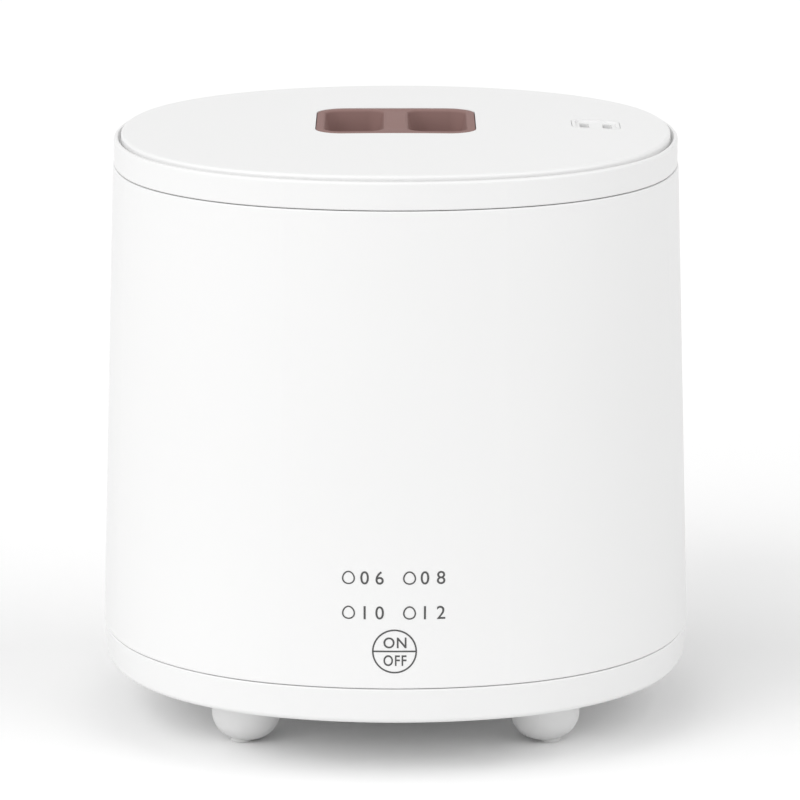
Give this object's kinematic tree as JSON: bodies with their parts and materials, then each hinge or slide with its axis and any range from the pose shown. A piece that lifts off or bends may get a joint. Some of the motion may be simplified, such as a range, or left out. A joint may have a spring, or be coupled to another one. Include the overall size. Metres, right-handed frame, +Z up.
{
  "type": "egg cooker",
  "caption": "Squared-round electric egg cooker with lift-off lid, recessed grip, steam vent, touch panel, steam chamber, egg rack, bowl and measuring cup.",
  "frame": {"origin": "on the surface it stands on, under the middle of the housing", "axes": "+Z up, -Y is the front with the touch key, +X to the right seen from the front"},
  "size_m": [0.1606, 0.1606, 0.1624],
  "materials": {
    "white_plastic": "satin moulded polypropylene",
    "grip_plastic": "satin moulded, tinted in the mass",
    "chamber_plastic": "smooth moulded polypropylene",
    "silicone": "matt",
    "pad_rubber": "matt",
    "cast_aluminium": "fine turned and coated",
    "steel": "satin",
    "zinc_steel": "bright zinc",
    "circuit_board": "solder mask",
    "dark_plastic": "moulded",
    "blue_plastic": "moulded",
    "ceramic": "matt",
    "nickel_brass": "nickel plated",
    "clear_lens": "clear",
    "lead_sleeve": "silicone sleeve",
    "clear_plastic": "clear moulded"
  },
  "bodies": {
    "housing": {"outer_shell": "white_plastic", "cooking_chamber": "chamber_plastic", "plate_carrier": "chamber_plastic", "base_shell": "white_plastic", "foot_pads": "pad_rubber", "base_screws": "zinc_steel", "heating_plate": "steel", "heat_spreader": "cast_aluminium", "heating_element": "steel", "plate_seal": "silicone", "plate_clamp_ring": "steel", "plate_screws": "zinc_steel", "thermostat": "ceramic", "thermostat_bracket": "zinc_steel", "temperature_sensor": "dark_plastic", "thermal_fuse": "ceramic", "power_board": "circuit_board", "relay": "blue_plastic", "capacitor": "dark_plastic", "terminal_block": "ceramic", "buzzer": "dark_plastic", "touch_board": "circuit_board", "light_guide": "dark_plastic", "mode_lamps": "clear_lens", "touch_pad": "silicone", "board_screws": "zinc_steel", "power_inlet": "dark_plastic", "inlet_pins": "nickel_brass", "mains_leads": "lead_sleeve", "heater_leads": "lead_sleeve"},
    "lid": {"lid_ring": "white_plastic", "lid_top_plate": "white_plastic", "lid_grip": "grip_plastic", "lid_liner": "chamber_plastic", "lid_seal": "silicone", "steam_vent": "white_plastic", "vent_grommet": "silicone", "lid_screws": "zinc_steel"},
    "cup": {"measuring_cup": "clear_plastic", "piercing_pin": "steel"},
    "bowl": {"steaming_bowl": "steel"},
    "rack": {"egg_rack": "white_plastic"}
  },
  "joints": [
    {"name": "lid_lift", "type": "slide", "parent": "housing", "child": "lid", "axis": [0, 0, 1], "range_m": [0, 0.26]},
    {"name": "cup_lift", "type": "slide", "parent": "housing", "child": "cup", "axis": [0, 0, 1], "range_m": [0, 0.2085]},
    {"name": "bowl_lift", "type": "slide", "parent": "housing", "child": "bowl", "axis": [0, 0, 1], "range_m": [0, 0.1565]},
    {"name": "rack_lift", "type": "slide", "parent": "housing", "child": "rack", "axis": [0, 0, 1], "range_m": [0, 0.1097]}
  ],
  "couplings": [
    {"joint": "cup_lift", "follows": "lid_lift", "ratio": 0.8},
    {"joint": "bowl_lift", "follows": "lid_lift", "ratio": 0.6},
    {"joint": "rack_lift", "follows": "lid_lift", "ratio": 0.42}
  ]
}
